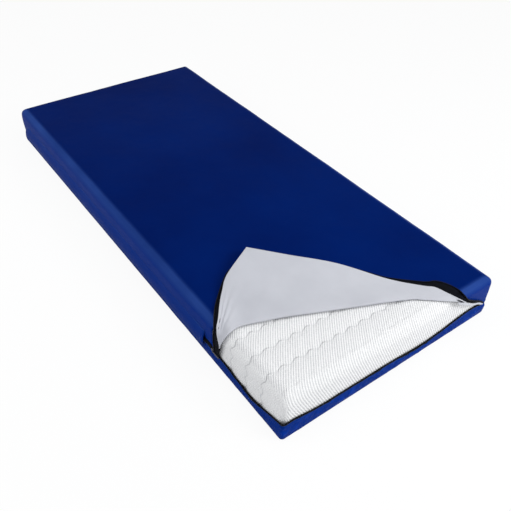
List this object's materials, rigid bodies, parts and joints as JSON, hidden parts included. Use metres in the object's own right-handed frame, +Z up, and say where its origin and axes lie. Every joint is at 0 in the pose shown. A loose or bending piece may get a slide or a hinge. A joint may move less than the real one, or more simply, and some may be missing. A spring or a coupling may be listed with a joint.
{
  "type": "pressure relief mattress",
  "caption": "Foam pressure relief mattress in a zipped wipe-clean cover, one corner opened and folded back over the quilted inner cover",
  "frame": {"origin": "centre of the flat face that the mattress lies on", "axes": "+X across the mattress, +Y along it to the head end, +Z up"},
  "size_m": [0.911, 2.0021, 0.2038],
  "materials": {
    "cover_fabric": "satin, polyurethane-coated",
    "zip_tape": "matt woven",
    "zip_coil": "matt",
    "zip_metal": "black enamel",
    "knit": "soft knitted, quilted",
    "wadding": "soft fibre",
    "foam_white": "open-cell foam",
    "foam_firm": "open-cell foam"
  },
  "bodies": {
    "mattress": {"cover_top": "cover_fabric", "cover_base": "cover_fabric", "zip_guard": "cover_fabric", "zip_tape_lower": "zip_tape", "zip_tape_upper": "zip_tape", "zip_tape_ear": "zip_tape", "zip_coil_lower": "zip_coil", "zip_coil_upper": "zip_coil", "zip_stop_head": "zip_metal", "zip_stop_foot": "zip_metal", "inner_cover_top": "knit", "inner_cover_base": "knit", "inner_wadding": "wadding", "foam_base": "foam_firm", "foam_core": "foam_white", "foam_visco_top": "foam_white", "foam_rail_left": "foam_firm", "foam_rail_right": "foam_firm"},
    "corner_flap": {"flap_panel": "cover_fabric", "flap_fold": "cover_fabric", "flap_border_side": "cover_fabric", "flap_border_foot": "cover_fabric", "flap_tape_side": "zip_tape", "flap_tape_foot": "zip_tape", "flap_coil_side": "zip_coil", "flap_coil_foot": "zip_coil"},
    "slider": {"zip_slider": "zip_metal"},
    "pull": {"zip_pull": "zip_metal"}
  },
  "joints": [
    {"name": "corner_flap_fold", "type": "hinge", "parent": "mattress", "child": "corner_flap", "pos_m": [-0.45, -0.643, 0.175], "axis": [0.9051, -0.4252, 0], "range_deg": [0, 176]},
    {"name": "zip_slider_run", "type": "slide", "parent": "mattress", "child": "slider", "axis": [0, 1, 0], "range_m": [-0.28, 1.57]},
    {"name": "zip_pull_flip", "type": "hinge", "parent": "slider", "child": "pull", "pos_m": [-0.4565, -0.652, 0.056], "axis": [0, 0, -1], "range_deg": [0, 180]}
  ]
}
